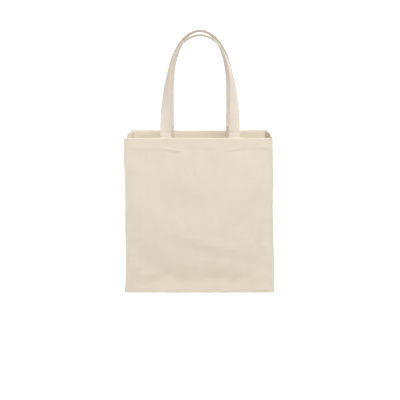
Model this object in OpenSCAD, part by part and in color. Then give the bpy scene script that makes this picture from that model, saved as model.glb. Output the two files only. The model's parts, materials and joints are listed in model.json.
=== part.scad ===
// Canvas tote bag with a boxed gusset, turned hem and two sewn handles.
// Millimetres, +Z up, front towards -Y. The origin is on the floor under the bag's middle.
// Each gusset side and the base is two leaves that hinge along a middle crease, so the bag folds.

/* [Bag] */
// Width of the front and rear panels at the floor
base_w = 384; // [300:1:420]
// Width of the front and rear panels at the rim
rim_w = 368; // [290:1:420]
// Height of the panels, from the floor to the rim
bag_h = 406; // [340:1:450]
// Depth from the front panel's outer face to the rear panel's outer face
bag_d = 102; // [80:1:130]
// Thickness of one layer of canvas
cloth_t = 1.2; // [0.8:0.1:1.6]

/* [Hem] */
// Depth of the turned hem below the rim
hem_h = 30; // [20:1:40]
// Distance from the hem's lower edge up to its row of stitching
hem_stitch_up = 2; // [1:0.5:4]

/* [Seams] */
// Distance from a panel's side edge to its gusset, which leaves a flange stitched flat
flange_w = 5; // [3:0.5:8]

/* [Handles] */
// Width of the handle strap
strap_w = 28; // [22:1:32]
// Thickness of the folded handle strap
strap_t = 2.4; // [1.6:0.1:3]
// Distance between the middles of a handle's two ends
strap_spacing = 166; // [140:1:190]
// Height of a handle's loop above the rim
loop_rise = 255; // [200:1:280]
// Height above the rim at which a handle bends over
bend_rise = 10; // [8:1:14]
// Sharpness of the loop's shoulders, where 2 is an ellipse
loop_power = 3.4; // [2.4:0.1:4]

/* [Stitching] */
// Width of a row of thread
thread_w = 0.8; // [0.6:0.1:1.2]
// How far a row of thread stands proud of the cloth
thread_proud = 0.4; // [0.3:0.05:0.5]
// Distance of the edge stitching from a panel's edge
edge_stitch_in = 4; // [2.5:0.5:7]
// Side of the square stitched through each handle end
box_side = 20; // [16:1:22]

/* [Hidden] */

front = -1;
rear = 1;
left = -1;
right = 1;

canvas = [0.89, 0.84, 0.77];
turned_canvas = [0.87, 0.81, 0.73];
thread = [0.93, 0.90, 0.85];

half_d = bag_d / 2;
taper = atan((base_w - rim_w) / 2 / bag_h);   // lean of the bag's sides, towards the middle
leaf_len = half_d - cloth_t;          // inner face of a panel to the middle crease
corner_gap = 0.6;                     // room for a leaf to turn beside its panel
flange_gap = 0.3;                     // room between a leaf and the flange beside it
crease_gap = 0.3;                     // half the room between two leaves at a crease
hem_setback = 9;                      // a hem stops short of the gusset corners, where the leaves fold in
mitre_gap = 5.5;                      // height of the gusset's mitred end above the 45 degree fold
tuck_gap = 0.4;                       // room round a corner tuck
hem_y = leaf_len - cloth_t;           // inner face of a panel's hem
bend_gap = 0.5;                       // half the room between a tab and its handle loop
tab_down = 3;                         // a tab stops this far above the hem's lower edge
loop_rings = 56;                      // rings along a handle loop
ring_spread = 1.7;                    // power that spaces the rings evenly near the loop's ends
twist_power = 0.75;                   // how early a strap turns edge-on on its way up
twist_start = 14;                     // height above the rim at which the twist starts

// ---- Panels and hems ----

// Half the bag's outside width at a height
function half_width(z) = base_w / 2 - z * tan(taper);

// A flat plate of cloth parallel to the front, between two heights and inset from the bag's sides
module panel_plate(side, inset, outer_y, z_low, z_high) {
    low = half_width(z_low) - inset;
    high = half_width(z_high) - inset;
    translate([0, side > 0 ? outer_y : cloth_t - outer_y, 0])
        rotate([90, 0, 0])
            linear_extrude(cloth_t)
                polygon([[-low, z_low], [low, z_low], [high, z_high], [-high, z_high]]);
}

module panel(side) {
    color(canvas)
        panel_plate(side, 0, half_d, 0, bag_h);
}

module panel_hem(side) {
    color(turned_canvas)
        panel_plate(side, flange_w + hem_setback, leaf_len, bag_h - hem_h, bag_h);
}

// ---- Gusset leaves, on the bag's left or right and towards its front or rear ----

// Extrudes an outline of (distance from the panel, height up the leaf) points into a plate of
// cloth, whose outer face is some millimetres inside the bag's leaning side
module leaf_plate(flank, side, inset, points) {
    mirror([flank > 0 ? 0 : 1, 0, 0])
        mirror([0, side > 0 ? 0 : 1, 0])
            translate([base_w / 2 - flange_w, leaf_len, 0])
                rotate([0, -taper, 0])
                    translate([-inset, 0, 0])
                        rotate([90, 0, -90])
                            linear_extrude(cloth_t)
                                polygon(points);
}

module gusset_leaf(flank, side) {
    far = leaf_len - crease_gap;
    color(canvas)
        leaf_plate(flank, side, 0, [
            [corner_gap, corner_gap + mitre_gap],
            [far, far + mitre_gap],
            [far, bag_h],
            [corner_gap, bag_h]
        ]);
}

module gusset_hem(flank, side) {
    far = leaf_len - crease_gap;
    color(turned_canvas)
        leaf_plate(flank, side, cloth_t, [
            [hem_setback, bag_h - hem_h],
            [far, bag_h - hem_h],
            [far, bag_h],
            [hem_setback, bag_h]
        ]);
}

// Triangle of gusset cloth below the mitre, which crumples when the bag folds
module corner_tuck(flank, side) {
    far = leaf_len - crease_gap;
    low = cloth_t + tuck_gap;
    near = low - mitre_gap + 2 * tuck_gap;
    color(canvas)
        leaf_plate(flank, side, 0, [
            [max(near, corner_gap), low],
            [far, low],
            [far, far + mitre_gap - tuck_gap],
            [max(near, corner_gap), max(near, corner_gap) + mitre_gap - tuck_gap]
        ]);
}

// Edge of the gusset cloth, turned outwards and sewn flat behind the panel's edge
module seam_flange(flank, side) {
    inner = flange_w - flange_gap;
    low = [half_width(0), 0];
    high = [half_width(bag_h), bag_h];
    color(turned_canvas)
        mirror([flank > 0 ? 0 : 1, 0, 0])
            translate([0, side > 0 ? leaf_len : cloth_t - leaf_len, 0])
                rotate([90, 0, 0])
                    linear_extrude(cloth_t)
                        polygon([low, high, high - [inner, 0], low - [inner, 0]]);
}

// ---- Base leaves ----

module bottom_leaf(side) {
    width = base_w - 2 * flange_w;
    y_low = side > 0 ? crease_gap : -(leaf_len - corner_gap);
    color(canvas)
        translate([-width / 2, y_low, 0])
            cube([width, leaf_len - corner_gap - crease_gap, cloth_t]);
}

// ---- Handles ----

// A point on the loop's middle line, for v from -1 at one end to 1 at the other: [x, height above the rim]
function loop_point(v) =
    let (
        start = asin(pow(bend_rise / loop_rise, loop_power / 2)),
        turn = start + (90 - start) * pow(1 - abs(v), ring_spread),
        side = v < 0 ? -1 : 1
    )
    [side * cos(turn) * strap_spacing / 2, loop_rise * pow(sin(turn), 2 / loop_power)];

// Unit direction along the loop's middle line, from the left end to the right end
function loop_direction(v) =
    let (
        step = 0.5 / loop_rings,
        a = loop_point(max(v - step, -1)),
        b = loop_point(min(v + step, 1))
    )
    (b - a) / norm(b - a);

// Angle by which the strap has turned edge-on at a height above the rim
function strap_twist(rise) =
    90 * pow(max(0, (rise - twist_start) / (loop_rise - twist_start)), twist_power);

// Four corners of the strap's section at v, for the handle on the panel at side
function strap_ring(v, side) =
    let (
        p = loop_point(v),
        along = loop_direction(v),
        twist = strap_twist(p[1]),
        out_x = -along[1],
        out_z = along[0],
        across = [cos(twist) * out_x, -sin(twist) * side, cos(twist) * out_z],
        face = [sin(twist) * out_x, cos(twist) * side, sin(twist) * out_z],
        middle = [p[0], side * (hem_y - strap_t / 2), bag_h + p[1]]
    )
    [for (c = [[-1, -1], [1, -1], [1, 1], [-1, 1]])
        middle + across * c[0] * strap_w / 2 + face * c[1] * strap_t / 2];

module handle_loop(side) {
    last = loop_rings - 1;
    trim = 1 - bend_gap / loop_rise;
    rings = [for (i = [0 : last]) strap_ring(trim * (2 * i / last - 1), side)];
    points = [for (ring = rings) for (corner = ring) corner];
    walls = [
        for (i = [0 : last - 1])
            for (k = [0 : 3])
                for (half = [0, 1])
                    let (a = 4 * i + k, b = 4 * i + (k + 1) % 4)
                        half == 0 ? [a, b, b + 4] : [a, b + 4, a + 4]
    ];
    caps = [[0, 3, 2], [0, 2, 1], [4 * last, 4 * last + 1, 4 * last + 2], [4 * last, 4 * last + 2, 4 * last + 3]];
    faces = concat(walls, caps);
    color(canvas)
        polyhedron(points, side > 0 ? faces : [for (f = faces) [f[2], f[1], f[0]]]);
}

// End of a handle, sewn inside the hem and rising to where the strap bends
module handle_tab(side, flank) {
    low = bag_h - hem_h + tab_down;
    y_low = side > 0 ? hem_y - strap_t : -hem_y;
    color(canvas)
        translate([flank * strap_spacing / 2 - strap_w / 2, y_low, low])
            cube([strap_w, strap_t, bag_h + bend_rise - bend_gap - low]);
}

// ---- Stitching ----

// A straight row of thread on a panel's outer face, from one (x, z) point to another
module thread_row(side, a, b) {
    d = b - a;
    long = norm(d) + thread_w;
    angle = atan2(d[1], d[0]);
    y_mid = side * (half_d + thread_proud / 2);
    translate([(a[0] + b[0]) / 2, y_mid, (a[1] + b[1]) / 2])
        rotate([0, -angle, 0])
            cube([long, thread_proud, thread_w], center = true);
}

module hem_stitch(side) {
    z = bag_h - hem_h + hem_stitch_up;
    reach = half_width(z) - 2 * edge_stitch_in;
    color(thread)
        thread_row(side, [-reach, z], [reach, z]);
}

// Square with a cross through each handle end, above the hem stitching
module box_stitch(side, flank) {
    x = flank * strap_spacing / 2;
    z = bag_h - hem_h / 2 + 1;
    h = box_side / 2;
    corners = [[x - h, z - h], [x + h, z - h], [x + h, z + h], [x - h, z + h]];
    color(thread)
        union() {
            for (i = [0 : 3])
                thread_row(side, corners[i], corners[(i + 1) % 4]);
            thread_row(side, corners[0], corners[2]);
            thread_row(side, corners[1], corners[3]);
        }
}

module side_edge_stitch(side, flank) {
    low = 2 * edge_stitch_in;
    high = bag_h - hem_h - edge_stitch_in;
    a = [flank * (half_width(low) - edge_stitch_in), low];
    b = [flank * (half_width(high) - edge_stitch_in), high];
    color(thread)
        thread_row(side, a, b);
}

module bottom_edge_stitch(side) {
    reach = half_width(edge_stitch_in) - 2 * edge_stitch_in;
    color(thread)
        thread_row(side, [-reach, edge_stitch_in], [reach, edge_stitch_in]);
}

panel(front);  // front_panel
panel(rear);  // rear_panel
panel_hem(front);  // front_hem
panel_hem(rear);  // rear_hem
gusset_leaf(left, front);  // left_gusset_front
gusset_leaf(left, rear);  // left_gusset_rear
gusset_leaf(right, front);  // right_gusset_front
gusset_leaf(right, rear);  // right_gusset_rear
gusset_hem(left, front);  // left_hem_front
gusset_hem(left, rear);  // left_hem_rear
gusset_hem(right, front);  // right_hem_front
gusset_hem(right, rear);  // right_hem_rear
corner_tuck(left, front);  // left_tuck_front
corner_tuck(left, rear);  // left_tuck_rear
corner_tuck(right, front);  // right_tuck_front
corner_tuck(right, rear);  // right_tuck_rear
seam_flange(left, front);  // left_flange_front
seam_flange(left, rear);  // left_flange_rear
seam_flange(right, front);  // right_flange_front
seam_flange(right, rear);  // right_flange_rear
bottom_leaf(front);  // bottom_front
bottom_leaf(rear);  // bottom_rear
handle_loop(front);  // front_handle
handle_loop(rear);  // rear_handle
handle_tab(front, left);  // front_left_tab
handle_tab(front, right);  // front_right_tab
handle_tab(rear, left);  // rear_left_tab
handle_tab(rear, right);  // rear_right_tab
box_stitch(front, left);  // front_left_box_stitch
box_stitch(front, right);  // front_right_box_stitch
box_stitch(rear, left);  // rear_left_box_stitch
box_stitch(rear, right);  // rear_right_box_stitch
hem_stitch(front);  // front_hem_stitch
hem_stitch(rear);  // rear_hem_stitch
side_edge_stitch(front, left);  // front_left_edge_stitch
side_edge_stitch(front, right);  // front_right_edge_stitch
side_edge_stitch(rear, left);  // rear_left_edge_stitch
side_edge_stitch(rear, right);  // rear_right_edge_stitch
bottom_edge_stitch(front);  // front_bottom_edge_stitch
bottom_edge_stitch(rear);  // rear_bottom_edge_stitch
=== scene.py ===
# Canvas tote bag: camera, cloth shell, hems, straps, stitches, materials, floor and lights.
# Metres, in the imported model's frame: +Z up, front towards -Y.
import json
import math

import bpy
import numpy as np
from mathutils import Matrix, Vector


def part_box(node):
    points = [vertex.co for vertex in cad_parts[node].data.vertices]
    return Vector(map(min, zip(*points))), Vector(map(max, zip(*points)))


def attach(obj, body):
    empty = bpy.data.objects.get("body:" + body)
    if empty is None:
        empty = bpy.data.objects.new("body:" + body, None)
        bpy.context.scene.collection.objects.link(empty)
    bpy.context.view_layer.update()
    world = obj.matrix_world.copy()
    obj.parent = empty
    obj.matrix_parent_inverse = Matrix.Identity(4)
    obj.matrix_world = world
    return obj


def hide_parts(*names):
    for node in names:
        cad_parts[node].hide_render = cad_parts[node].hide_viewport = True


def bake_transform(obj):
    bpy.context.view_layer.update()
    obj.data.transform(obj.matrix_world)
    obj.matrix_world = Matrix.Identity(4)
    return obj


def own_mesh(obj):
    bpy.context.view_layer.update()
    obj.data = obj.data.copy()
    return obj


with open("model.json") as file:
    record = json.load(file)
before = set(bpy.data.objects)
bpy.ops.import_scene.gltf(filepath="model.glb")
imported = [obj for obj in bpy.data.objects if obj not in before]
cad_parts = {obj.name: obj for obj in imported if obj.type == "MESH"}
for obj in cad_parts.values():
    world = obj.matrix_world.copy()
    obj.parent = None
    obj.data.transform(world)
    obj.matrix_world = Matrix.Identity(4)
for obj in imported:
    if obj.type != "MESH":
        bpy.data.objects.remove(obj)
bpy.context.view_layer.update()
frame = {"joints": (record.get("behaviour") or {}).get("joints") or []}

# ---- Sizes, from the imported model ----

JOINTS = {joint["name"]: joint for joint in frame["joints"]}
PANEL_LOW, PANEL_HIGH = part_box("front_panel")
HEM_LOW, HEM_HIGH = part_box("front_hem")
TAB_LOW, TAB_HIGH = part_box("front_left_tab")
RIM_Z = PANEL_HIGH.z
HALF_BASE = PANEL_HIGH.x
HALF_DEPTH = -PANEL_LOW.y
CLOTH = PANEL_HIGH.y - PANEL_LOW.y
HEM_H = HEM_HIGH.z - HEM_LOW.z
TAPER = math.asin(abs(JOINTS["right_crease"]["axis"][0]))
GUSSET_IN = HALF_BASE - JOINTS["right_crease"]["pos_m"][0]  # in from a panel's edge
LEAF = JOINTS["flatten"]["pos_m"][1]  # half a gusset's width
STRAP_W = TAB_HIGH.x - TAB_LOW.x
STRAP_T = TAB_HIGH.y - TAB_LOW.y
STRAP_X = -(TAB_LOW.x + TAB_HIGH.x) / 2
STRAP_Y = -(TAB_LOW.y + TAB_HIGH.y) / 2
TAB_Z = TAB_LOW.z
LOOP_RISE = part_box("front_handle")[1].z - RIM_Z

FRONT = -1
REAR = 1
LEFT = -1
RIGHT = 1
SIDE_NAME = {FRONT: "front", REAR: "rear"}
FLANK_NAME = {LEFT: "left", RIGHT: "right"}

MM = 0.001
EDGE_STITCH_IN = 4 * MM  # from a panel's edge to its edge stitching
HEM_STITCH_UP = 2 * MM  # from the hem's lower edge to its stitching
HEM_ROW_Z = RIM_Z - HEM_H + HEM_STITCH_UP
BOX_SIDE = 20 * MM  # square stitched through each handle end

# ---- Helpers for meshes and materials ----

def stacked(*parts):
    return np.stack(np.broadcast_arrays(*parts), axis=-1)


def grid_faces(rows, cols, first=0, closed=False):
    """Faces of a grid of points. A closed one joins each row's end to its start."""
    faces = []
    for i in range(rows - 1):
        for k in range(cols if closed else cols - 1):
            a = first + i * cols + k
            b = first + i * cols + (k + 1) % cols
            faces.append((a, b, b + cols, a + cols))
    return faces


def turned_over(faces):
    return [(a, d, c, b) for a, b, c, d in faces]


def add_to_scene(name, data):
    item = bpy.data.objects.new(name, data)
    bpy.context.scene.collection.objects.link(item)
    return item


def new_material(name):
    material = bpy.data.materials.new(name)
    material.use_nodes = True
    return material, material.node_tree, material.node_tree.nodes["Principled BSDF"]


# ---- Camera ----

CAMERA_BACK = 3.0  # distance in front of the front panel
CAMERA_Z = 1.008
CAMERA_PITCH = math.radians(14.24)
CAMERA_LENS = 110.2  # millimetres, for a sensor 36 mm wide
camera_data = bpy.data.cameras.new("camera")
camera_data.sensor_width = 36
camera_data.lens = CAMERA_LENS
camera = add_to_scene("camera", camera_data)
camera.location = (0, -(HALF_DEPTH + CAMERA_BACK), CAMERA_Z)
camera.rotation_euler = (math.pi / 2 - CAMERA_PITCH, 0, 0)
bpy.context.scene.camera = camera
bpy.context.scene.view_settings.view_transform = "Standard"


# ---- Form of the cloth ----

def smooth(value, low, high):
    """0 at low, 1 at high and an S-curve between them. low may be the greater."""
    t = np.clip((value - low) / (high - low), 0, 1)
    return t * t * (3 - 2 * t)


def band(value, middle, width):
    """1 at the middle, fading out over about the width on both sides."""
    return np.exp(-((value - middle) / width) ** 2)


def half_width(z):
    return HALF_BASE - z * math.tan(TAPER)


# Soft folds in a panel: middle (x, z), slope in degrees, half length, half width, height, and
# how much of it is a ledge, which faces down, rather than a ridge. Millimetres.
FOLDS = {
    FRONT: [
        (60, 108, -14, 90, 20, 1.5, 1.0),
        (-110, 42, 20, 60, 15, 1.1, 1.0),
        (10, 56, -13, 60, 15, 0.5, 1.0),
        (-26, 262, -24, 76, 34, 2.2, 0.9),
        (100, 245, 4, 34, 12, 0.5, 1.0),
        (-77, 330, 10, 24, 28, 0.9, 0.0),
        (110, 318, -30, 60, 34, 1.2, 0.0),
        (-20, 165, 20, 70, 34, 0.9, 0.0),
        (150, 160, 70, 60, 18, 0.7, 0.0),
        (-150, 190, 84, 90, 16, 0.8, 0.0),
    ],
    REAR: [
        (-60, 90, 14, 80, 22, 0.8, 1.0),
        (80, 60, -16, 60, 18, 0.7, 1.0),
        (40, 250, 26, 80, 34, 1.5, 0.9),
        (-110, 300, 34, 60, 32, 1.2, 0.0),
        (20, 160, -18, 70, 34, 0.9, 0.0),
        (150, 190, 84, 90, 18, 0.8, 0.0),
        (-150, 150, 96, 80, 18, 0.8, 0.0),
    ],
}
# The small dimples and creases that the handle ends pull in the cloth under the hem. As FOLDS.
DIMPLES = {
    FRONT: [
        (-76, 373.5, -7, 20, 4.2, 1.25, 1.0),
        (-62, 369, 14, 14, 4.0, 0.7, 1.0),
        (-86, 360, -64, 13, 4.0, 0.5, 0.3),
        (-70, 358, -50, 12, 5.0, 0.35, 0.2),
        (84, 374, 5, 17, 4.2, 1.1, 1.0),
        (101, 364, 58, 13, 4.0, 0.45, 0.3),
        (88, 360, 70, 11, 4.5, 0.3, 0.2),
        (168, 377, -18, 16, 5.0, 0.7, 0.8),
        (-172, 352, 72, 22, 5.0, 0.4, 0.3),
        (174, 330, 100, 26, 5.0, 0.4, 0.3),
    ],
    REAR: [
        (-82, 373.5, 6, 19, 4.2, 1.1, 1.0),
        (-70, 362, 50, 13, 4.0, 0.4, 0.3),
        (80, 373.5, -6, 19, 4.2, 1.1, 1.0),
        (94, 362, -56, 13, 4.0, 0.4, 0.3),
    ],
}
LEDGE_GAIN = 1.17  # makes a ledge rise and fall by 0.83 of its fold's height


def folded(folds, x, z):
    """The height of soft folds at points on a panel, in millimetres."""
    out = 0.0
    for fx, fz, slope, length, width, height, ledge in folds:
        c = math.cos(math.radians(slope))
        s = math.sin(math.radians(slope))
        dx = x / MM - fx
        dz = z / MM - fz
        along = (dx * c + dz * s) / length
        across = (dz * c - dx * s) / width
        ridge = np.exp(-across * across)
        step = across * np.exp(0.5 - across * across) * LEDGE_GAIN
        out = out + height * np.exp(-along * along) * ((1 - ledge) * ridge + ledge * step)
    return out


# The designed form of the sides before the simulation. Heights are in millimetres.
PANEL_FILL = 3.4  # how far a panel's middle stands out
PANEL_REST = 2.2  # how far it lies back from its edges, above its foot
FOOT_FILL = 1.1  # how far its foot stands out
FOOT_TOP = 0.09  # top of the foot, as a share of the rim's height
RIPPLE = 0.55
RIPPLE_TOP = 0.93  # the ripples fade out from here to the rim
RIPPLE_PHASE = {FRONT: 0.0, REAR: 2.1}
GUSSET_TOP = 0.16  # the upper part, in metres below the rim
GUSSET_FILL = {LEFT: (4.2, 1.0), RIGHT: (2.6, 1.5)}  # at the rim, and below the upper part
GUSSET_RIPPLE = 0.5
GUSSET_FOOT = -0.8
# Upright pleats near a gusset's rim: place from -1 (front) to 1 (rear), width and height.
GUSSET_PLEATS = {LEFT: (), RIGHT: ((-0.42, 0.16, -3.2), (-0.8, 0.15, 2.4))}


def panel_ripple(side, x, z):
    """Two pairs of crossed waves, in radians per metre, whose crests don't line up."""
    phase = RIPPLE_PHASE[side]
    broad = np.sin(x * 61 + z * 23 + phase) * np.sin(z * 47 - x * 17 + 1.3 * phase)
    fine = np.sin(x * 113 - z * 71 + 0.7 + phase) * np.sin(z * 97 + x * 31)
    return broad + 0.6 * fine


def panel_form(side, x, z):
    """How far a panel stands out from flat, before the cloth is simulated."""
    u = x / half_width(z)
    v = z / RIM_Z
    inside = np.clip(1 - u * u, 0, 1)
    foot = smooth(v, FOOT_TOP, 0.0)
    swell = np.sin(np.pi * np.clip(v, 0, 1) ** 1.15) ** 1.2
    out = PANEL_FILL * inside ** 0.8 * swell
    out = out - PANEL_REST * inside ** 0.3 * (1 - foot)
    out = out + FOOT_FILL * inside ** 0.5 * foot
    out = out + folded(FOLDS[side], x, z)
    fade = 1 - smooth(v, RIPPLE_TOP, 1.0)
    out = out + RIPPLE * panel_ripple(side, x, z) * inside ** 0.5 * fade
    return out * MM * smooth(inside, 0.0, 0.12)


def gusset_form(flank, y, z):
    """How far a gusset stands out sideways from flat, before the cloth is simulated."""
    w = y / LEAF
    inside = np.clip(1 - w * w, 0, 1)
    top = smooth(z, RIM_Z - GUSSET_TOP, RIM_Z)
    rim_fill, low_fill = GUSSET_FILL[flank]
    out = inside * (rim_fill * top + low_fill * (1 - top))
    for place, width, height in GUSSET_PLEATS[flank]:
        out = out + height * band(w, place, width) * top
    ripple = GUSSET_RIPPLE * np.sin(z * 52 + y * 40 + flank) * np.sin(z * 23 - y * 70)
    foot = GUSSET_FOOT * smooth(z, 0.05, 0.0)
    return (out + (ripple + foot) * inside) * MM * smooth(inside, 0.0, 0.2)


# ---- Cloth simulation of the whole shell ----

PANEL_CELLS = 40
GUSSET_CELLS = 10
HEIGHT_CELLS = 42
SIM_FRAMES = 22
SIM_CAP = 9 * MM  # no point of the cloth moves further than this
SIM_SHARE = 0.6  # how much of the movement is kept
SIM_SLACK = 0.0016  # how much longer the cloth is than its form
SIM_PRESSURE = 0.05
HEM_HOLD = 0.75  # how firmly the hem is held in place


def ring_points(z):
    """The bag's outline at a height, as (x, y, region, place across the region)."""
    width = half_width(z) - GUSSET_IN
    half = [((2 * i / PANEL_CELLS - 1) * width, -LEAF, "front", i) for i in range(PANEL_CELLS)]
    half += [(width, (2 * i / GUSSET_CELLS - 1) * LEAF, "right", i) for i in range(GUSSET_CELLS)]
    facing = {"front": ("rear", PANEL_CELLS), "right": ("left", GUSSET_CELLS)}
    return half + [(-x, -y, facing[name][0], facing[name][1] - i) for x, y, name, i in half]


def start_fields():
    """The designed form of the four sides, on the simulation's grids."""
    z = np.linspace(0, RIM_Z, HEIGHT_CELLS + 1)[None, :]
    u = np.linspace(-1, 1, PANEL_CELLS + 1)[:, None]
    y = np.linspace(-LEAF, LEAF, GUSSET_CELLS + 1)[:, None]
    x = u * (half_width(z) - GUSSET_IN)
    return {
        "front": panel_form(FRONT, x, z),
        "rear": panel_form(REAR, x, z),
        "left": gusset_form(LEFT, y, z),
        "right": gusset_form(RIGHT, y, z),
    }


OUTWARD = {"front": (1, -1), "rear": (1, 1), "left": (0, -1), "right": (0, 1)}


def shell_mesh(fields):
    """The four sides as one mesh, and for each point its (region, place across, row)."""
    points = []
    keys = []
    for k in range(HEIGHT_CELLS + 1):
        z = RIM_Z * k / HEIGHT_CELLS
        for x, y, region, i in ring_points(z):
            axis, sign = OUTWARD[region]
            place = [x, y, z]
            place[axis] += sign * fields[region][i, k]
            points.append(place)
            keys.append((region, i, k))
    mesh = bpy.data.meshes.new("sim_shell")
    around = 2 * (PANEL_CELLS + GUSSET_CELLS)
    mesh.from_pydata(points, [], grid_faces(HEIGHT_CELLS + 1, around, closed=True))
    return mesh, points, keys


def held_share(region, i, k, x):
    """How firmly a point of the shell is held: fully at the base, the seams and the strap ends."""
    is_panel = region in ("front", "rear")
    at_seam = i in (0, PANEL_CELLS if is_panel else GUSSET_CELLS)
    if k == 0 or at_seam:
        return 1.0
    if RIM_Z * k / HEIGHT_CELLS <= RIM_Z - HEM_H:
        return 0.0
    under_strap = is_panel and abs(abs(x) - STRAP_X) < STRAP_W / 2 + MM
    return 1.0 if under_strap else HEM_HOLD


def add_cloth(shell):
    """Makes the shell a light, fairly stiff cloth with a little slack and inner pressure."""
    cloth = shell.modifiers.new("cloth", "CLOTH")
    settings = cloth.settings
    settings.quality = 7
    settings.mass = 0.02
    settings.tension_stiffness = 25
    settings.compression_stiffness = 25
    settings.shear_stiffness = 8
    settings.bending_stiffness = 3
    settings.vertex_group_mass = "held"
    settings.shrink_min = -SIM_SLACK
    settings.use_pressure = True
    settings.uniform_pressure_force = SIM_PRESSURE
    cloth.collision_settings.use_collision = False
    cloth.point_cache.frame_start = 1
    cloth.point_cache.frame_end = SIM_FRAMES


def simulate(fields):
    """Hangs the shell's cloth a little slack, and returns how far each side then stands out."""
    mesh, points, keys = shell_mesh(fields)
    shell = add_to_scene("sim_shell", mesh)
    scene = bpy.context.scene
    held = shell.vertex_groups.new(name="held")
    for index, (region, i, k) in enumerate(keys):
        held.add([index], held_share(region, i, k, points[index][0]), "REPLACE")
    add_cloth(shell)
    scene.frame_start = 1
    scene.frame_end = SIM_FRAMES
    for number in range(1, SIM_FRAMES + 1):
        scene.frame_set(number)
    result = shell.evaluated_get(bpy.context.evaluated_depsgraph_get())
    moved = np.zeros(len(points) * 3)
    result.data.vertices.foreach_get("co", moved)
    moved = moved.reshape(-1, 3)
    made = {name: field.copy() for name, field in fields.items()}
    for index, (region, i, k) in enumerate(keys):
        axis, sign = OUTWARD[region]
        change = sign * (moved[index][axis] - points[index][axis])
        change = SIM_SHARE * SIM_CAP * math.tanh(change / SIM_CAP)
        made[region][i, k] = fields[region][i, k] + change
    bpy.data.objects.remove(shell)
    bpy.data.meshes.remove(mesh)
    scene.frame_set(1)
    return made


FIELDS = start_fields()
FIELDS = simulate(FIELDS)


# Catmull-Rom weights of four grid lines, as powers of the place between the middle two.
CUBIC = ((0, -0.5, 1, -0.5), (1, 0, -2.5, 1.5), (0, 0.5, 2, -1.5), (0, 0, -0.5, 0.5))


def cubic_lines(place, last):
    """The four grid lines round each place, with their weights."""
    low = np.clip(np.floor(place).astype(int), 0, last - 1)
    t = place - low
    weights = [a + t * (b + t * (c + t * d)) for a, b, c, d in CUBIC]
    return [(np.clip(low + k - 1, 0, last), weight) for k, weight in enumerate(weights)]


def cubic(field, a, b):
    """Smooth values of a grid at fractional places a along its rows and b along its columns."""
    a, b = np.broadcast_arrays(a, b)
    total = 0.0
    for rows, row_weight in cubic_lines(a, field.shape[0] - 1):
        for cols, col_weight in cubic_lines(b, field.shape[1] - 1):
            total = total + row_weight * col_weight * field[rows, cols]
    return total


# Sewing marks in the cloth. Depths and heights in millimetres, widths in metres.
EDGE_GROOVE = 0.45
FOOT_GROOVE = 0.5
EDGE_GROOVE_WIDTH = 1.3 * MM
HEM_GROOVE = 0.28
GUSSET_HEM_GROOVE = 0.4
HEM_GROOVE_WIDTH = 1.2 * MM
HEM_STEP = 0.22
PUCKER = 0.12
HEM_PUCKER_PITCH = 9 * MM
EDGE_PUCKER_PITCH = 8 * MM


def bulge(side, x, z):
    """How far a panel's outer face stands out from flat, stitched grooves included."""
    u = np.clip(x / (half_width(z) - GUSSET_IN), -1, 1)
    field = FIELDS[SIDE_NAME[side]]
    out = cubic(field, (u + 1) / 2 * PANEL_CELLS, z / RIM_Z * HEIGHT_CELLS)
    edge = half_width(z) - np.abs(x)
    groove = EDGE_GROOVE * band(edge, EDGE_STITCH_IN, EDGE_GROOVE_WIDTH)
    foot_groove = FOOT_GROOVE * band(z, EDGE_STITCH_IN, EDGE_GROOVE_WIDTH)
    groove = groove + foot_groove * smooth(edge, 0, 0.01)
    hem_groove = HEM_GROOVE * band(z, HEM_ROW_Z, HEM_GROOVE_WIDTH)
    groove = groove + hem_groove * smooth(edge, 0, 0.008)
    hem_step = HEM_STEP * smooth(z, HEM_ROW_Z - 3 * MM, HEM_ROW_Z + 2 * MM)
    hem_pucker = np.sin(x * 2 * np.pi / HEM_PUCKER_PITCH) * band(z, HEM_ROW_Z, 4 * MM)
    edge_pucker = np.sin(z * 2 * np.pi / EDGE_PUCKER_PITCH) * band(edge, EDGE_STITCH_IN, 3.5 * MM)
    raised = (hem_step + folded(DIMPLES[side], x, z)) * smooth(edge, 0, 0.012)
    return out + (raised - groove + PUCKER * (hem_pucker + edge_pucker)) * MM


# How far the filled-out sides stand outside their straight seams, by height. Millimetres.
SIDE_HEIGHTS = (0, 7, 40, 97, 120, 144, 167, 211, 238, 286, 309, 333, 357, 406)
SIDE_OUT = {
    LEFT: (2.2, 1.8, 0.4, 0.3, 0.6, 1.4, 2.2, 2.4, 2.5, 3.2, 4.2, 5.4, 6.2, 6.2),
    RIGHT: (1.0, 0.6, -0.4, -0.5, -0.7, -1.4, -2.0, -2.8, -2.4, -1.2, -1.1, -1.0, -1.8, -2.3),
}
SEAM_SHARE = 0.6  # share of that which the seam and the gusset follow
REAR_DRAW = {LEFT: 11.5 * MM, RIGHT: 9 * MM}  # how far the rear rim's corners are drawn in
REAR_DRAW_H = 0.26  # metres below the rim over which that fades out
GUSSET_DRAW = 0.97  # share of it that the gusset's rear edge follows
REAR_RISE = 2.4 * MM  # how far the rear rim's corners stand above its CAD height
REAR_DIP = 1.4 * MM  # how far its middle hangs below its corners
REAR_RISE_H = 0.05  # metres below the rim over which both fade out


def side_out(flank, z):
    return np.interp(np.asarray(z) / MM, SIDE_HEIGHTS, SIDE_OUT[flank]) * MM


def rear_draw(flank, z):
    return REAR_DRAW[flank] * smooth(z, RIM_Z - REAR_DRAW_H, RIM_Z)


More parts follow.
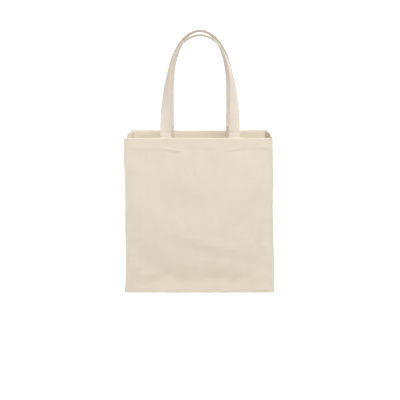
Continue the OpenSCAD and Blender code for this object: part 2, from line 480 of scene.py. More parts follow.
def panel_points(side, x, z, depth=0.0):
    """Points on a panel: x across, z up, and depth behind its outer face."""
    out = HALF_DEPTH + bulge(side, x, z) - depth
    share = x / half_width(z)
    wide = np.where(share < 0, side_out(LEFT, z), side_out(RIGHT, z))
    seam = 1 - GUSSET_IN / half_width(z)
    spread = np.abs(share) * SEAM_SHARE / seam
    spread = spread + (1 - SEAM_SHARE / seam) * smooth(np.abs(share), seam - 0.01, 1)
    x = x + np.sign(share) * wide * spread
    rise = 0.0
    if side == REAR:
        drawn = np.where(share < 0, rear_draw(LEFT, z), rear_draw(RIGHT, z))
        x = x - share * np.abs(share) ** 3 * drawn
        fade = smooth(z, RIM_Z - REAR_RISE_H, RIM_Z)
        rise = (REAR_RISE - REAR_DIP * (1 - share * share)) * fade
    return stacked(x, side * out, z + rise)


def gusset_points(flank, y, z, depth=0.0):
    """Points on a gusset: y from front to rear, z up, and depth inside its outer face."""
    back = np.clip((y + LEAF) / (2 * LEAF), 0, 1)
    field = FIELDS[FLANK_NAME[flank]]
    out = cubic(field, back * GUSSET_CELLS, z / RIM_Z * HEIGHT_CELLS)
    out = out - GUSSET_HEM_GROOVE * MM * band(z, HEM_ROW_Z, HEM_GROOVE_WIDTH)
    out = out - rear_draw(flank, z) * back ** 3 * GUSSET_DRAW
    out = out + SEAM_SHARE * np.maximum(side_out(flank, z), 0)
    x = half_width(z) - GUSSET_IN + out - depth
    return stacked(flank * x, y, z)


# ---- Meshes ----

def add_object(name, points, faces, uv, material, flat_faces=()):
    mesh = bpy.data.meshes.new(name)
    mesh.from_pydata([tuple(p) for p in points], [], faces)
    layer = mesh.uv_layers.new(name="cloth_uv")
    corners = np.zeros(len(mesh.loops), dtype=np.int32)
    mesh.loops.foreach_get("vertex_index", corners)
    layer.data.foreach_set("uv", np.asarray(uv, dtype=np.float32)[corners].ravel())
    shade = np.ones(len(mesh.polygons), dtype=bool)
    if len(flat_faces):
        shade[np.asarray(flat_faces)] = False
    mesh.polygons.foreach_set("use_smooth", shade)
    sharp = {key for index in flat_faces for key in mesh.polygons[index].edge_keys}
    for edge in mesh.edges:
        edge.use_edge_sharp = edge.key in sharp
    mesh.materials.append(material)
    return add_to_scene(name, mesh)


def grid_normals(grid):
    du = np.gradient(grid, axis=0)
    dv = np.gradient(grid, axis=1)
    normal = np.cross(du, dv)
    length = np.linalg.norm(normal, axis=-1, keepdims=True)
    return normal / np.maximum(length, 1e-12)


def sheet_piece(name, outer, uv, material, thickness, towards):
    """A closed layer of cloth from its outer face. towards is a point on its outer side."""
    normal = grid_normals(outer)
    centre = (outer.shape[0] // 2, outer.shape[1] // 2)
    if np.dot(normal[centre], np.array(towards) - outer[centre]) < 0:
        outer = outer[::-1]
        uv = uv[::-1]
        normal = -normal[::-1]
    inner = outer - normal * thickness
    rows, cols = outer.shape[:2]
    count = rows * cols
    points = np.concatenate([outer.reshape(-1, 3), inner.reshape(-1, 3)])
    uvs = np.tile(uv.reshape(-1, 2), (2, 1))
    faces = turned_over(grid_faces(rows, cols)) + grid_faces(rows, cols, count)
    rim = [i * cols for i in range(rows)]
    rim += [(rows - 1) * cols + j for j in range(1, cols)]
    rim += [i * cols + cols - 1 for i in range(rows - 2, -1, -1)]
    rim += range(cols - 2, 0, -1)
    first_flat = len(faces)
    for a, b in zip(rim, rim[1:] + rim[:1]):
        faces.append((b, a, count + a, count + b))
    flat_faces = range(first_flat, len(faces))
    return add_object(name, points, faces, uvs, material, flat_faces)


CLOSEST = 0.45 * MM  # rows of a mesh aren't put closer together than this


def spaced(low, high, step, extra=()):
    """Places from low to high about step apart, with extra places among them."""
    count = max(2, round((high - low) / step) + 1)
    places = set(np.round(np.linspace(low, high, count), 6))
    for e in extra:
        if low <= e <= high:
            places -= {p for p in places if abs(p - e) < CLOSEST and p not in (low, high)}
            places.add(round(e, 6))
    return np.array(sorted(places))


# ---- Materials ----

def feed(tree, node, values):
    """Sets a node's inputs, or links them to the outputs of other nodes."""
    for key, value in values.items():
        if isinstance(value, bpy.types.NodeSocket):
            tree.links.new(value, node.inputs[key])
        else:
            node.inputs[key].default_value = value
    return node


def add_node(tree, kind, values):
    return feed(tree, tree.nodes.new("ShaderNode" + kind), values)


def node_math(operation, a, b=None, clamp=False):
    node = add_node(a.id_data, "Math", {0: a} if b is None else {0: a, 1: b})
    node.operation = operation
    node.use_clamp = clamp
    return node.outputs[0]


def plus(a, b, clamp=False):
    return node_math("ADD", a, b, clamp)


def times(a, b):
    return node_math("MULTIPLY", a, b)


def node_noise(vector, scale, detail, roughness=0.5):
    values = {"Vector": vector, "Scale": scale, "Detail": detail, "Roughness": roughness}
    return add_node(vector.id_data, "TexNoise", values).outputs["Fac"]


def node_stretch(vector, scale, move):
    values = {"Vector": vector, "Scale": scale, "Location": move}
    return add_node(vector.id_data, "Mapping", values).outputs["Vector"]


def node_mix(factor, a, b):
    node = add_node(factor.id_data, "Mix", {})
    node.data_type = "RGBA"
    sockets = [k for k, socket in enumerate(node.inputs) if socket.enabled]
    feed(factor.id_data, node, dict(zip(sockets, (factor, a, b))))
    return [socket for socket in node.outputs if socket.enabled][0]


WOBBLE_SCALE = 160  # how the threads wander: noise per metre, and radians of weave
WOBBLE = 0.9
WEAVE_CROWN = 0.6  # share of the weave's relief that is the threads' crowns
WARP_SLUBS = (1050, 26, 1)  # noise per metre across and along the cloth
WEFT_SLUBS = (22, 980, 1)
MOTTLE_SCALE = 26
CLOUD_SCALE = 7
FLECKS_PER_METRE = (150, 95, 1)
FLECK_SIZE = 0.055
FLECKS_LEFT_OUT = 0.62  # share of the possible flecks
FLECK_DEPTH = 0.55
SLUB_TONE = 0.26  # how much each of these lightens the cloth
MOTTLE_TONE = 0.34
CLOUD_TONE = 0.20
WEAVE_TONE = 0.30
LIGHT_TINT = (1.045,) * 3
DARK_TINT = (0.93, 0.915, 0.885)
FLECK_TINT = (0.52, 0.42, 0.30)
SLUB_RELIEF = 0.55
WEAVE_DEPTH = 0.22 * MM
CANVAS_ROUGHNESS = (0.82, 0.14)  # the least, and what the mottling adds
CANVAS_PITCH = 0.95 * MM
STRAP_PITCH = 0.9 * MM


def cloth_place(tree):
    """The place on the cloth in metres, as a vector and as its separate parts."""
    uv = add_node(tree, "UVMap", {})
    uv.uv_map = "cloth_uv"
    split = add_node(tree, "SeparateXYZ", {0: uv.outputs["UV"]})
    return uv.outputs["UV"], split.outputs["X"], split.outputs["Y"]


def add_relief(tree, shader, height, strength, distance):
    values = {"Height": height, "Strength": strength, "Distance": distance}
    relief = add_node(tree, "Bump", values)
    tree.links.new(relief.outputs["Normal"], shader.inputs["Normal"])


def plain_weave(tree, pitch):
    """Threads that pass over and under each other, with a crown on each."""
    place, x, y = cloth_place(tree)
    wobble = times(node_noise(place, WOBBLE_SCALE, 2), WOBBLE)
    across = plus(times(x, math.pi / pitch), wobble)
    along = plus(times(y, math.pi / pitch), wobble)
    warp = node_math("SINE", across)
    weft = node_math("SINE", along)
    over = times(warp, weft)
    warp_on_top = node_math("GREATER_THAN", over, 0.0)
    warp_top = node_math("ABSOLUTE", warp)
    weft_top = node_math("ABSOLUTE", weft)
    gap = node_math("SUBTRACT", warp_top, weft_top)
    chosen = plus(weft_top, times(gap, warp_on_top))
    crown = times(node_math("ABSOLUTE", over), WEAVE_CROWN)
    return plus(times(chosen, 1 - WEAVE_CROWN), crown)


def seed_flecks(place, seed):
    """A mask of rare, small flecks of cotton seed."""
    spread = node_stretch(place, FLECKS_PER_METRE, (seed * 3, 1, 0))
    cells = add_node(place.id_data, "TexVoronoi", {"Vector": spread, "Scale": 1})
    speck = node_math("LESS_THAN", cells.outputs["Distance"], FLECK_SIZE)
    pick = add_node(place.id_data, "SeparateColor", {0: cells.outputs["Color"]})
    rare = node_math("GREATER_THAN", pick.outputs[0], FLECKS_LEFT_OUT)
    return times(times(speck, rare), FLECK_DEPTH)


def tinted(colour, shares):
    return (*(min(1, c * share) for c, share in zip(colour, shares)), 1)


def canvas_material(name, base, seed, pitch=CANVAS_PITCH, bump=0.5):
    """Unbleached cotton canvas: plain weave, slubs, seed flecks and soft mottling."""
    material, tree, shader = new_material(name)
    place = cloth_place(tree)[0]
    weave = plain_weave(tree, pitch)
    slub_warp = node_noise(node_stretch(place, WARP_SLUBS, (seed, 3, 0)), 1, 2)
    slub_weft = node_noise(node_stretch(place, WEFT_SLUBS, (7, seed, 0)), 1, 2)
    slub = plus(slub_warp, slub_weft)
    mottle_place = node_stretch(place, (1, 1, 1), (seed, seed, 0))
    mottle = node_noise(mottle_place, MOTTLE_SCALE, 4, 0.6)
    cloud_place = node_stretch(place, (1, 1, 1), (0, seed * 2, 0))
    cloud = node_noise(cloud_place, CLOUD_SCALE, 2)
    tone = times(slub, SLUB_TONE)
    for part, share in ((mottle, MOTTLE_TONE), (cloud, CLOUD_TONE), (weave, WEAVE_TONE)):
        tone = plus(tone, times(part, share), clamp=True)
    colour = node_mix(tone, tinted(base, DARK_TINT), tinted(base, LIGHT_TINT))
    flecks = seed_flecks(place, seed)
    colour = node_mix(flecks, colour, tinted(base, FLECK_TINT))
    least, added = CANVAS_ROUGHNESS
    feed(tree, shader, {
        "Base Color": colour,
        "Roughness": plus(times(mottle, added), least, clamp=True),
        "Specular IOR Level": 0.18,
        "Sheen Weight": 0.12,
        "Sheen Roughness": 0.55,
        "Sheen Tint": (1, 0.95, 0.88, 1),
    })
    height = plus(weave, times(slub, SLUB_RELIEF))
    add_relief(tree, shader, height, bump, WEAVE_DEPTH)
    return material


THREAD_DARK = (0.70, 0.62, 0.50, 1)
THREAD_LIGHT = (0.82, 0.75, 0.64, 1)
THREAD_TWIST = 0.9 * MM  # length of one turn of its two plies
THREAD_DEPTH = 0.1 * MM
FUZZ_SCALE = 900


def thread_material():
    """Cotton-wrapped thread with a two-ply twist."""
    material, tree, shader = new_material("thread")
    place, x, y = cloth_place(tree)
    turn = times(x, 2 * math.pi / THREAD_TWIST)
    around = plus(turn, times(y, 2 * math.pi))
    ply = node_math("ABSOLUTE", node_math("SINE", around))
    fuzz = times(node_noise(place, FUZZ_SCALE, 2), 0.4)
    tone = plus(times(ply, 0.6), fuzz)
    colour = node_mix(tone, THREAD_DARK, THREAD_LIGHT)
    feed(tree, shader, {"Base Color": colour, "Roughness": 0.7, "Specular IOR Level": 0.3})
    add_relief(tree, shader, ply, 0.5, THREAD_DEPTH)
    return material


CANVAS = canvas_material("canvas_panel", (0.775, 0.695, 0.59), 3.1)
# The gusset canvas is the panel's canvas made darker: painted shade for the shaded insides of the
# gussets. The flanges, the tucks and the right gusset's hem take it too.
SHADED_GUSSET_CANVAS = canvas_material("canvas_gusset_painted_shade", (0.765, 0.655, 0.525), 7.7)
BASE_CANVAS = canvas_material("canvas_base", (0.75, 0.665, 0.55), 11.9)
# The hem canvas is the panel's canvas made lighter: painted light on the rim's roll, on the hems
# seen inside the mouth and on the left gusset's hem.
LIT_HEM_CANVAS = canvas_material("canvas_hem_painted_light", (0.91, 0.83, 0.71), 5.3)
STRAP_COLOUR = (0.795, 0.715, 0.62)
STRAP_CANVAS = canvas_material("canvas_strap", STRAP_COLOUR, 9.2, STRAP_PITCH, bump=0.16)
THREAD = thread_material()


# ---- Stitches ----

STITCH_LONG = 2.7 * MM
STITCH_PITCH = 3.5 * MM
STITCH_WIDE = 0.38 * MM  # half a thread's width
STITCH_HIGH = 0.8  # its height as a share of its width
STITCH_SIDES = 6
# Rings along a stitch: place from end to end, size, and lift in millimetres.
STITCH_RINGS = (
    (-1.0, 0.35, -0.30),
    (-0.72, 0.9, 0.02),
    (0.0, 1.0, 0.14),
    (0.72, 0.9, 0.02),
    (1.0, 0.35, -0.30),
)


def stitch_places(long):
    """Middles of the stitches along a row, as shares of its length."""
    count = max(2, round(long / STITCH_PITCH))
    return [(k + 0.5) / count for k in range(count)]


def stitches(name, seats, scale=1.0):
    """One piece with a short thread at each seat: (middle, direction, outward)."""
    points = []
    faces = []
    uvs = []
    for number, (middle, along, out) in enumerate(seats):
        along = along / np.linalg.norm(along)
        out = out - along * np.dot(out, along)
        out = out / np.linalg.norm(out)
        wide = np.cross(along, out)
        first = len(points)
        for place, size, lift in STITCH_RINGS:
            centre = middle + along * place * STITCH_LONG / 2 + out * lift * scale * MM
            run = place * STITCH_LONG / 2 + number * STITCH_PITCH
            for k in range(STITCH_SIDES):
                angle = 2 * math.pi * k / STITCH_SIDES
                spoke = wide * math.cos(angle) + out * math.sin(angle) * STITCH_HIGH
                points.append(centre + spoke * STITCH_WIDE * size * scale)
                uvs.append((run, k / STITCH_SIDES))
        faces += grid_faces(len(STITCH_RINGS), STITCH_SIDES, first, closed=True)
        faces.append(tuple(range(first + STITCH_SIDES - 1, first - 1, -1)))
        faces.append(tuple(range(len(points) - STITCH_SIDES, len(points))))
    return add_object(name, points, faces, uvs, THREAD)


def panel_seats(side, rows):
    """Seats for rows of stitches on a panel's outer face, between (x, z) points."""
    seats = []
    for start, end in rows:
        a = np.array(start)
        b = np.array(end)
        for t in stitch_places(math.dist(start, end)):
            here = a + (b - a) * t
            step = (b - a) / np.linalg.norm(b - a) * MM
            along = panel_points(side, *(here + step)) - panel_points(side, *(here - step))
            seats.append((panel_points(side, *here), along, np.array((0.0, side, 0.0))))
    return seats


# ---- Panels, hems and flanges ----

PANEL_CELL = 4.2 * MM  # usual size of a panel's mesh cells
PANEL_LAYER = 0.92 * CLOTH  # thin enough that the layers don't touch
GUSSET_LAYER = 0.9 * CLOTH
FLANGE_LAYER = 0.9 * MM
HEM_LAYER = 0.55 * MM
HEM_DEPTH = 2.4 * MM  # from a panel's outer face to its hem's inner one
RIM_RADIUS = 1.2 * MM
TURN_RADIUS = 1.1 * MM  # a panel's turned edges
CORNER_RADIUS = 1.6 * MM  # a panel's lower corners
# Rows of a panel's mesh, in millimetres from its edges, its foot and its hem's stitching.
EDGE_MARKS = (0, 0.3, 0.8, 1.6, 2.6, 3.3, 4, 4.7, 5.6, 7, 9)
FOOT_MARKS = (0, 0.8, 1.8, 2.8, 3.4, 4, 4.6, 5.4, 7, 9, 12, 15)
HEM_MARKS = (-6, -4, -2.6, -1.6, -0.8, 0, 0.8, 1.6, 2.6, 4)
MIDDLE_Z = RIM_Z / 2
INSIDE_RIM = (0, 0, RIM_Z - 10 * MM)  # a point inside the bag, which the hems face


def turned_back(distance):
    """How far a turned edge falls back, at a distance inside that edge."""
    turned = np.clip((TURN_RADIUS - distance) / TURN_RADIUS, 0, 1)
    return TURN_RADIUS * (1 - np.sqrt(1 - 0.97 * turned ** 2))


def build_panel(side):
    name = SIDE_NAME[side]
    edge_marks = [1.0 - k * MM / HALF_BASE for k in EDGE_MARKS]
    marks = edge_marks + [-m for m in edge_marks]
    share = np.array(sorted(set(spaced(-0.97, 0.97, PANEL_CELL / HALF_BASE)) | set(marks)))
    near_foot = [k * MM for k in FOOT_MARKS]
    near_hem = [HEM_ROW_Z + k * MM for k in HEM_MARKS]
    z = spaced(0, RIM_Z - CLOTH, PANEL_CELL, near_foot + near_hem)
    sides, heights = np.meshgrid(share, z, indexing="ij")
    below = np.maximum(CORNER_RADIUS - heights, 0)
    rounded = CORNER_RADIUS - np.sqrt(np.maximum(CORNER_RADIUS ** 2 - below ** 2, 0))
    x = sides * (half_width(heights) - 0.7 * rounded)
    edge = half_width(heights) - np.abs(x)
    outer = panel_points(side, x, heights, turned_back(edge) + turned_back(heights))
    uv = stacked(x + 0.2, heights + 0.5 * (side + 1))
    outside = (0, side * 2, MIDDLE_Z)
    piece = sheet_piece(name + "_panel_cloth", outer, uv, CANVAS, PANEL_LAYER, outside)
    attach(piece, name)
    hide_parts(name + "_panel")
    return piece


def hem_profile():
    """The turned hem's outer face, as (depth, z), from its lower edge over the rim."""
    foot = RIM_Z - HEM_H
    above_row = HEM_ROW_Z + 1.6 * MM
    profile = [
        (HEM_DEPTH, foot),
        (HEM_DEPTH + 0.25 * MM, foot + 0.9 * MM),
        (HEM_DEPTH + 0.1 * MM, HEM_ROW_Z),
        (HEM_DEPTH + 0.3 * MM, above_row),
    ]
    for k in range(1, 6):
        z = above_row + (RIM_Z - 3 * MM - HEM_ROW_Z) * k / 6
        profile.append((HEM_DEPTH + 0.15 * MM, z))
    for k in range(7):
        angle = math.pi * k / 6
        depth = RIM_RADIUS * (1 + math.cos(angle))
        profile.append((depth, RIM_Z - RIM_RADIUS * (1 - math.sin(angle))))
    return profile


def hem_grid(place, across):
    """A hem's inner and top faces. place(across, z, depth) gives a point on the cloth."""
    profile = hem_profile()
    runs = [0.0]
    for here, ahead in zip(profile, profile[1:]):
        runs.append(runs[-1] + math.dist(here, ahead))
    columns = [[place(c, z, depth) for depth, z in profile] for c in across]
    uv = [[(c + 0.3, run) for run in runs] for c in across]
    return np.array(columns), np.array(uv)


def build_panel_hem(side):
    name = SIDE_NAME[side]
    reach = half_width(RIM_Z) - GUSSET_IN - 1.6 * MM

    def place(x, z, depth):
        return panel_points(side, x * half_width(z) / half_width(RIM_Z), z, depth)

    grid, uv = hem_grid(place, spaced(-reach, reach, 4 * MM))
    hem = sheet_piece(name + "_hem_cloth", grid, uv, LIT_HEM_CANVAS, HEM_LAYER, INSIDE_RIM)
    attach(hem, name)
    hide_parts(name + "_hem")
    return hem


FLANGE_DEPTH = 2.35 * MM  # behind the panel's outer face
# A flange's rows, in millimetres: from the panel's edge, and further back than that depth.
FLANGE_ROWS = (
    (0.5, 0.0), (1.6, 0.1), (2.8, 0.15), (4.0, 0.1),
    (4.7, 0.0), (5.2, 0.1), (5.8, 0.5), (6.4, 1.2),
)


def build_flange(flank, side):
    """Edge of the gusset cloth, turned outwards and stitched flat behind the panel."""
    name = FLANK_NAME[flank] + "_flange_" + SIDE_NAME[side]
    z = spaced(0.6 * MM, RIM_Z - 1.3 * MM, 5 * MM)
    inset, extra = np.array(FLANGE_ROWS).T * MM
    insets, heights = np.meshgrid(inset, z, indexing="ij")
    depth = FLANGE_DEPTH + np.broadcast_to(extra[:, None], insets.shape)
    x = flank * (half_width(heights) - insets)
    outer = panel_points(side, x, heights, depth)
    uv = stacked(insets + 0.6, heights)
    inwards = (flank * 0.18, 0, MIDDLE_Z)
    piece = sheet_piece(name + "_cloth", outer, uv, SHADED_GUSSET_CANVAS, FLANGE_LAYER, inwards)
    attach(piece, SIDE_NAME[side])
    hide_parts(name)
    return piece


# ---- Gussets ----

SPLIT = LEAF / 2  # where the gusset cloth's rear part meets its main part
MITRE_SLOPE = 1.06  # a little over 1, so that the folded gusset clears the folded base
MITRE_LIFT = 5.0 * MM  # it is also lifted this far, except at the corner
CORNER_GAP = 0.1 * MM  # the gusset cloth stops this far from the corner seams
BASE_GAP = 0.9 * MM  # the base cloth stops this far from the gussets
BASE_WAVE = 0.25 * MM
HEM_STITCH_PROUD = 0.25 * MM
GUSSET_ROWS = 96  # rows of mesh cells up a gusset


def mitre(y):
    """Height of the fold line between a gusset and its corner tucks."""
    distance = np.maximum(LEAF - np.abs(y), 0.0)
    return distance * MITRE_SLOPE + MITRE_LIFT * (1 - np.exp(-distance / (2 * MM)))


def gusset_uv(flank, y, z):
    return stacked(y + 0.8 + 0.2 * flank, z)


def hem_seats(flank, low, high):
    """Seats for the stitches across a gusset's hem, from low to high in y."""
    seats = []
    for t in stitch_places(high - low):
        y = low + (high - low) * t
        middle = gusset_points(flank, y, HEM_ROW_Z, -HEM_STITCH_PROUD)
        ahead = gusset_points(flank, y + MM, HEM_ROW_Z, -HEM_STITCH_PROUD)
        seats.append((middle, ahead - middle, np.array((float(flank), 0, 0))))
    return seats


def build_gusset(flank):
    """A gusset's cloth, hem and hem stitches, each as a narrow rear part and a main part."""
    name = FLANK_NAME[flank]
    outside = (flank, 0, MIDDLE_Z)
    # Painted light and shade: the left gusset's hem takes the lighter hem canvas, where the left
    # inside is lit, and the right one the darker gusset canvas, where the right inside is in
    # shade.
    hem_painted_tone = LIT_HEM_CANVAS if flank == LEFT else SHADED_GUSSET_CANVAS
    rear_y = spaced(SPLIT, LEAF - CORNER_GAP, 2.0 * MM)
    main_y = spaced(-LEAF + CORNER_GAP, SPLIT, 2.5 * MM, [0.0])
    # Each part's CAD name, places across, and how far its hem stays off their two ends.
    parts = {"rear": ("rear", rear_y, 0, 2.6 * MM), "main": ("front", main_y, 1.6 * MM, 0)}
    made = []
    for part, (cad, places, front_gap, rear_gap) in parts.items():
        ys, shares = np.meshgrid(places, np.linspace(0, 1, GUSSET_ROWS + 1), indexing="ij")
        z = mitre(ys) + (RIM_Z - CLOTH - mitre(ys)) * shares
        grid = gusset_points(flank, ys, z)
        uv = gusset_uv(flank, ys, z)
        cloth_name = f"{name}_gusset_{part}_cloth"
        piece = sheet_piece(cloth_name, grid, uv, SHADED_GUSSET_CANVAS, GUSSET_LAYER, outside)
        reach = spaced(places[0] + front_gap, places[-1] - rear_gap, 2.5 * MM)
        hem, hem_uv = hem_grid(lambda y, z, depth: gusset_points(flank, y, z, depth), reach)
        hem_name = f"{name}_gusset_{part}_hem"
        hem_piece = sheet_piece(hem_name, hem, hem_uv, hem_painted_tone, HEM_LAYER, INSIDE_RIM)
        row = stitches(hem_name + "_stitches", hem_seats(flank, reach[0], reach[-1]))
        for item in (piece, hem_piece, row):
            if part == "rear":
                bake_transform(item)
            else:
                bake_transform(item)
        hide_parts(f"{name}_gusset_{cad}")
        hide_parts(f"{name}_hem_{cad}")
        made.append((piece, [hem_piece, row]))
    return made


def build_tuck(flank, side):
    """Triangle of gusset cloth under the mitre, carried by its leaf of the gusset as the bag
    folds.
    """
    name = FLANK_NAME[flank] + "_tuck_" + SIDE_NAME[side]
    distance = spaced(CORNER_GAP, LEAF, 3 * MM)
    ds, ts = np.meshgrid(distance, np.linspace(0, 1, 15), indexing="ij")
    ys = side * (LEAF - ds)
    z = mitre(ys) * ts
    grid = gusset_points(flank, ys, z)
    uv = gusset_uv(flank, ys, z)
    outside = (flank, 0, 0.02)
    piece = sheet_piece(name + "_cloth", grid, uv, SHADED_GUSSET_CANVAS, GUSSET_LAYER, outside)
    leaf = f"{FLANK_NAME[flank]}_{SIDE_NAME[side]}_leaf"
    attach(piece, leaf)
    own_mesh(piece)
    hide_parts(name)
    return piece


def build_base():
    half = HALF_BASE - GUSSET_IN - BASE_GAP
    reach = LEAF - 0.2 * MM
    x = spaced(-half, half, 6 * MM)
    y = spaced(-reach, reach, 3 * MM, [0.0])
    xs, ys = np.meshgrid(x, y, indexing="ij")
    wave = BASE_WAVE * (1 + np.sin(xs * 37) * np.sin(ys * 60 + 1))
    z = wave * (1 - (ys / reach) ** 2)
    outer = stacked(xs, ys, z)
    uv = stacked(xs + 0.2, ys + 1.4)
    piece = sheet_piece("base_cloth", outer, uv, BASE_CANVAS, GUSSET_LAYER, (0, 0, -1))
    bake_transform(piece)
    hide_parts("bottom_front", "bottom_rear")
    return piece


# ---- Handles ----

LOOP_POWER = 3.4  # sharpness of the loop's shoulders, where 2 is an ellipse
RING_SPREAD = 1.7  # crowds the loop's rings towards its top, where it bends most
LOOP_RINGS = 150
END_RINGS = 16
START_RISE = 10 * MM  # the straps are straight up to this rise
HALF_SPACING = {FRONT: 86 * MM, REAR: 80.5 * MM}
TWIST_POWER = 0.75
TWIST_START = 14 * MM
TWIST_END = {FRONT: math.radians(106), REAR: math.radians(73)}
# Soft kinks across a strap, in millimetres: rise above the rim, width and height.
WRINKLES = ((7, 2.2, 0.7), (13, 2.6, -0.5), (19, 2.4, 0.45), (52, 9, 0.5), (96, 14, -0.6))
STRAP_CLEAR = 30 * MM  # a strap follows its panel up to this rise
STRAP_ROW = 0.76  # place of a strap's stitch rows, as a share of half its width
STRAP_STITCH_PITCH = 3.2 * MM
STRAP_STITCH_SIZE = 0.55
STRAP_STITCH_SEAT = 0.41  # its height, as a share of the strap's thickness
STRAP_END_GAP = 4 * MM  # from the stitch rows to the strap's ends
# The strap's section from its edge inwards, as shares of half its width and half its thickness.
STRAP_EDGE = ((1, 0.45), (0.93, 0.86), (0.84, 0.97), (STRAP_ROW, 0.86), (0.7, 0.97), (0.4, 1.02))
STRAP_CROWN = 1.04


def loop_line(side):
    """The strap's middle line from one sewn end to the other: (x, rise above the rim)."""
    half = HALF_SPACING[side]
    start = math.asin((START_RISE / LOOP_RISE) ** (LOOP_POWER / 2))
    low = TAB_Z - RIM_Z
    points = [(-half, rise) for rise in np.linspace(low, START_RISE, END_RINGS)[:-1]]
    for k in range(LOOP_RINGS + 1):
        v = 2 * k / LOOP_RINGS - 1
        turn = start + (math.pi / 2 - start) * (1 - abs(v)) ** RING_SPREAD
        x = math.copysign(math.cos(turn) * half, v)
        points.append((x, LOOP_RISE * math.sin(turn) ** (2 / LOOP_POWER)))
    points += [(half, rise) for rise in np.linspace(START_RISE, low, END_RINGS)[1:]]
    return np.array(points)


def strap_frames(side):
    """Middle, across and face directions along a strap, and the distance run."""
    line = loop_line(side)
    rise = line[:, 1]
    direction = np.gradient(line, axis=0)
    direction = direction / np.linalg.norm(direction, axis=1, keepdims=True)
    climbed = np.clip((rise - TWIST_START) / (LOOP_RISE - TWIST_START), 0, 1)
    twist = TWIST_END[side] * climbed ** TWIST_POWER
    c = np.cos(twist)
    s = np.sin(twist)
    out_x = -direction[:, 1]
    out_z = direction[:, 0]
    y = np.full(len(line), side * STRAP_Y)
    middle = stacked(line[:, 0], y, RIM_Z + rise)
    across = stacked(c * out_x, -s * side, c * out_z)
    face = stacked(s * out_x, c * side, s * out_z)
    run = np.concatenate([[0], np.cumsum(np.linalg.norm(np.diff(middle, axis=0), axis=1))])
    for at, wide, high in WRINKLES:
        middle = middle + face * high * MM * band(rise / MM, at, wide)[:, None]
    bulged = np.array([bulge(side, p[0], min(p[2], RIM_Z)) for p in middle])
    middle[:, 1] += side * bulged * smooth(rise, STRAP_CLEAR, 0)
    return middle, across, face, run


def strap_section():
    """The strap's section, as (share of half its width, offset from its middle layer)."""
    left = [(-share, high) for share, high in STRAP_EDGE]
    right = [(share, high) for share, high in reversed(STRAP_EDGE)]
    profile = left + [(0, STRAP_CROWN)] + right
    top = [(share, high * STRAP_T / 2) for share, high in profile]
    return top + [(share, -high) for share, high in reversed(top)]


def strap_mesh(side, middle, across, face, run):
    """Points, faces and cloth places of a strap. The last two faces close its ends."""
    section = strap_section()
    count = len(section)
    points = []
    uvs = []
    for i in range(len(middle)):
        for share, high in section:
            wide = share * STRAP_W / 2
            points.append(middle[i] + across[i] * wide + face[i] * high)
            under = 0.06 if high < 0 else 0
            uvs.append((wide + 0.1 + under, run[i] + side * 1.3 + 2))
    faces = grid_faces(len(middle), count, closed=True)
    start_cap = tuple(range(count))
    end_cap = tuple(range(len(points) - count, len(points)))
    if side == FRONT:
        return points, faces + [start_cap[::-1], end_cap], uvs
    return points, turned_over(faces) + [start_cap, end_cap[::-1]], uvs


def strap_seats(middle, across, face, run):
    """Seats for the two rows of stitches on each of a strap's two faces."""
    def at(place, values):
        return np.array([np.interp(place, run, values[:, c]) for c in range(3)])

    places = np.arange(STRAP_END_GAP, run[-1] - STRAP_END_GAP, STRAP_STITCH_PITCH)
    seats = []
    for share in (-STRAP_ROW, STRAP_ROW):
        row = middle + across * share * STRAP_W / 2
        for facing in (1, -1):
            for place in places:
                here = at(place, row)
                proud = at(place, face) * facing
                seat = here + proud * STRAP_T * STRAP_STITCH_SEAT
                seats.append((seat, at(place + MM, row) - here, proud))
    return seats


def build_handle(side):
    """A handle's strap, sewn ends and loop in one, and the stitches along its edges."""
    name = SIDE_NAME[side]
    middle, across, face, run = strap_frames(side)
    points, faces, uvs = strap_mesh(side, middle, across, face, run)
    caps = (len(faces) - 2, len(faces) - 1)
    strap = add_object(name + "_strap", points, faces, uvs, STRAP_CANVAS, caps)
    seats = strap_seats(middle, across, face, run)
    rows = stitches(name + "_strap_stitches", seats, STRAP_STITCH_SIZE)
    for item in (strap, rows):
        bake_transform(item)
    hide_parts(name + "_handle", name + "_left_tab", name + "_right_tab")


# ---- Stitching on the panels ----

def box_rows(x, z):
    """A stitched square with a cross in it, round a middle point."""
    h = BOX_SIDE / 2
    corners = [(x - h, z - h), (x + h, z - h), (x + h, z + h), (x - h, z + h)]
    rows = [(corners[k], corners[(k + 1) % 4]) for k in range(4)]
    return rows + [(corners[0], corners[2]), (corners[1], corners[3])]


def stitch_rows(side):
    """Every row of stitches on a panel, as (x, z) ends, by the CAD node that it replaces."""
    name = SIDE_NAME[side]
    reach = half_width(HEM_ROW_Z) - EDGE_STITCH_IN
    rows = {name + "_hem_stitch": [((-reach, HEM_ROW_Z), (reach, HEM_ROW_Z))]}
    low = 1.5 * EDGE_STITCH_IN
    high = RIM_Z - EDGE_STITCH_IN
    foot = half_width(EDGE_STITCH_IN) - low
    rows[name + "_bottom_edge_stitch"] = [((-foot, EDGE_STITCH_IN), (foot, EDGE_STITCH_IN))]
    for flank in (LEFT, RIGHT):
        start = (flank * (half_width(low) - EDGE_STITCH_IN), low)
        end = (flank * (half_width(high) - EDGE_STITCH_IN), high)
        rows[f"{name}_{FLANK_NAME[flank]}_edge_stitch"] = [(start, end)]
        box = box_rows(flank * HALF_SPACING[side], RIM_Z - HEM_H / 2 + MM)
        rows[f"{name}_{FLANK_NAME[flank]}_box_stitch"] = box
    return rows


def build_panel_stitches(side):
    name = SIDE_NAME[side]
    made = []
    for node, lines in stitch_rows(side).items():
        piece = stitches(node + "es", panel_seats(side, lines))
        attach(piece, name)
        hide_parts(node)
        made.append(piece)
    return made


# ---- The whole bag ----

for side in (FRONT, REAR):
    panel = build_panel(side)
    hem = build_panel_hem(side)
    rows = build_panel_stitches(side)
    for flank in (LEFT, RIGHT):
        build_flange(flank, side)
    build_handle(side)

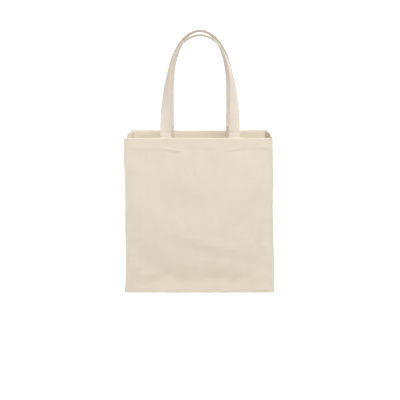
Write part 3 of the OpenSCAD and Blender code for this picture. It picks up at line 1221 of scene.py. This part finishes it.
for flank in (LEFT, RIGHT):
    for side in (FRONT, REAR):
        build_tuck(flank, side)
    for piece, extras in build_gusset(flank):
        width = SPLIT if "rear" in piece.name else LEAF + SPLIT

base = build_base()

# ---- Floor, surround and lights ----

FLOOR_HALF = 20  # metres
FLOOR_Z = -0.5 * MM
FLOOR_COLOUR = (0.64, 0.63, 0.625)
SWEEP_RADIUS = 60
SWEEP_STEPS = 24
AMBIENT_COLOUR = (1, 0.995, 0.985, 1)
AMBIENT_STRENGTH = 0.50
AIM_Z = RIM_Z * 0.55  # the lights point at the bag's axis at this height
# Soft round lights: place and width in metres, and power in watts.
LIGHTS = {
    "key": ((0.5, -2.4, 2.65), 2.4, 35),
    "top": ((0.8, -1.1, 2.9), 2.0, 35),
    "back": ((0.9, 2.6, 2.2), 1.6, 44),
    "left_fill": ((-2.8, -1.5, 1.0), 1.8, 18),
    "right_fill": ((2.8, 0.6, 1.2), 1.8, 6),
}

def studio_material(name, colour, glow):
    material, tree, shader = new_material(name)
    feed(tree, shader, {
        "Base Color": (*colour, 1),
        "Roughness": 1,
        "Specular IOR Level": 0,
        "Emission Color": (1, 1, 1, 1),
        "Emission Strength": glow,
    })
    return material


def studio_floor():
    """A floor that bounces light, and that the camera doesn't see."""
    mesh = bpy.data.meshes.new("studio_floor")
    turns = ((-1, -1), (1, -1), (1, 1), (-1, 1))
    corners = [(FLOOR_HALF * x, FLOOR_HALF * y, FLOOR_Z) for x, y in turns]
    mesh.from_pydata(corners, [], [(0, 1, 2, 3)])
    mesh.materials.append(studio_material("studio_floor", FLOOR_COLOUR, 0.0))
    plane = add_to_scene("studio_floor", mesh)
    plane.visible_camera = False


def studio_sweep():
    """A plain white surround, which only the camera sees."""
    rows = SWEEP_STEPS // 2
    points = []
    for i in range(rows + 1):
        tilt = math.pi * (i / rows - 0.5)
        level = SWEEP_RADIUS * math.cos(tilt)
        for k in range(SWEEP_STEPS):
            turn = 2 * math.pi * k / SWEEP_STEPS
            x = level * math.cos(turn)
            y = level * math.sin(turn)
            points.append((x, y, SWEEP_RADIUS * math.sin(tilt)))
    mesh = bpy.data.meshes.new("studio_sweep")
    mesh.from_pydata(points, [], grid_faces(rows + 1, SWEEP_STEPS, closed=True))
    mesh.materials.append(studio_material("studio_sweep", (1, 1, 1), 1.0))
    sweep = add_to_scene("studio_sweep", mesh)
    for kind in ("diffuse", "glossy", "transmission", "shadow"):
        setattr(sweep, "visible_" + kind, False)


def studio_world():
    world = bpy.data.worlds.new("studio")
    bpy.context.scene.world = world
    world.use_nodes = True
    ambient = world.node_tree.nodes["Background"]
    feed(world.node_tree, ambient, {"Color": AMBIENT_COLOUR, "Strength": AMBIENT_STRENGTH})


def soft_light(name, place, width, power):
    data = bpy.data.lights.new(name, "AREA")
    data.shape = "DISK"
    data.size = width
    data.energy = power
    light = add_to_scene(name, data)
    light.location = place
    aim = Vector((0, 0, AIM_Z)) - Vector(place)
    light.rotation_mode = "QUATERNION"
    light.rotation_quaternion = aim.to_track_quat("-Z", "Y")


studio_floor()
studio_sweep()
studio_world()
for name, (place, width, power) in LIGHTS.items():
    soft_light(name, place, width, power)
